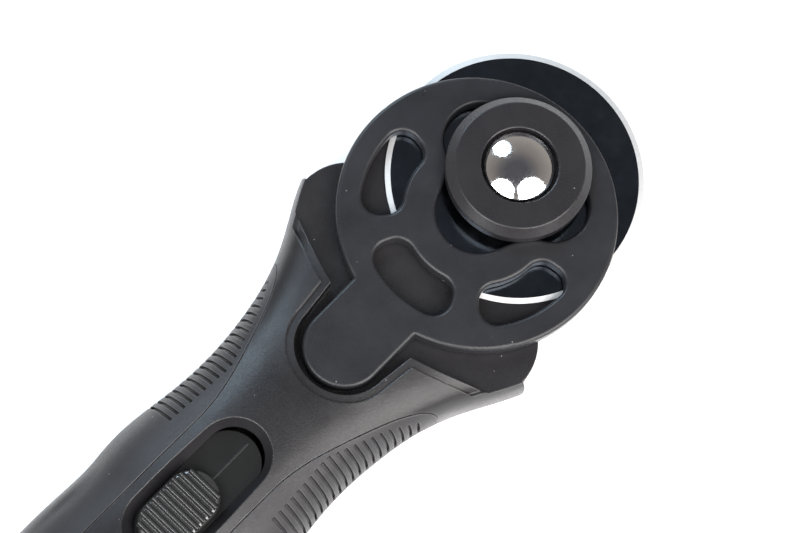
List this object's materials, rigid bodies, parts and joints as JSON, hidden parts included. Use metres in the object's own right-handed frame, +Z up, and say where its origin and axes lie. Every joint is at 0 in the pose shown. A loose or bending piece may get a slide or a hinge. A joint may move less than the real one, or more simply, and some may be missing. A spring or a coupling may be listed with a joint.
{
  "type": "rotary cutter",
  "caption": "Hand-held rotary cutter: round blade on a clamped pivot, sliding disc guard worked by a ribbed thumb slide, soft grips.",
  "frame": {"origin": "middle of the footprint, on the plane that the back of the handle lies on", "axes": "+X along the handle from the tail to the blade, +Y to the left, +Z up, out of the side with the guard and thumb slide"},
  "size_m": [0.18, 0.053, 0.0228],
  "materials": {
    "handle_plastic": "soft-touch fine grain",
    "grip_rubber": "matt moulded",
    "guard_plastic": "satin moulded",
    "collar_plastic": "satin moulded",
    "button_plastic": "glossy ribbed",
    "slider_plastic": "smooth",
    "blade_steel": "lapped, ground edge",
    "bolt_chrome": "polished",
    "spring_steel": "rolled",
    "washer_steel": "zinc plated",
    "screw_steel": "dark plated",
    "insert_brass": "turned"
  },
  "bodies": {
    "handle": {"handle_top_shell": "handle_plastic", "handle_back_shell": "handle_plastic", "grip_left": "grip_rubber", "grip_right": "grip_rubber", "detent_spring": "spring_steel", "pivot_bolt": "bolt_chrome", "collar": "collar_plastic", "glide_ring": "slider_plastic", "blade_washer": "slider_plastic", "short_case_screws": "screw_steel", "long_case_screws": "screw_steel"},
    "guard_carriage": {"blade_guard": "guard_plastic", "guard_slider": "slider_plastic", "link_screw": "screw_steel", "thumb_button": "button_plastic"},
    "blade": {"blade": "blade_steel"},
    "washers": {"wave_washer": "spring_steel", "flat_washer": "washer_steel"},
    "nut": {"nut_knob": "collar_plastic", "nut_insert": "insert_brass"}
  },
  "joints": [
    {"name": "guard_slide", "type": "slide", "parent": "handle", "child": "guard_carriage", "axis": [1, 0, 0], "range_m": [0, 0.01]},
    {"name": "blade_spin", "type": "hinge", "parent": "handle", "child": "blade", "pos_m": [0.0675, 0, 0.01485], "axis": [0, 0, 1], "continuous": true},
    {"name": "washer_travel", "type": "slide", "parent": "handle", "child": "washers", "axis": [0, 0, -1], "range_m": [0, 0.003]},
    {"name": "nut_turn", "type": "hinge", "parent": "washers", "child": "nut", "pos_m": [0.0675, 0, 0.004], "axis": [0, 0, -1], "range_deg": [0, 1080]}
  ],
  "couplings": [
    {"joint": "washer_travel", "follows": "nut_turn", "m_per_rad": 0.00015915}
  ]
}
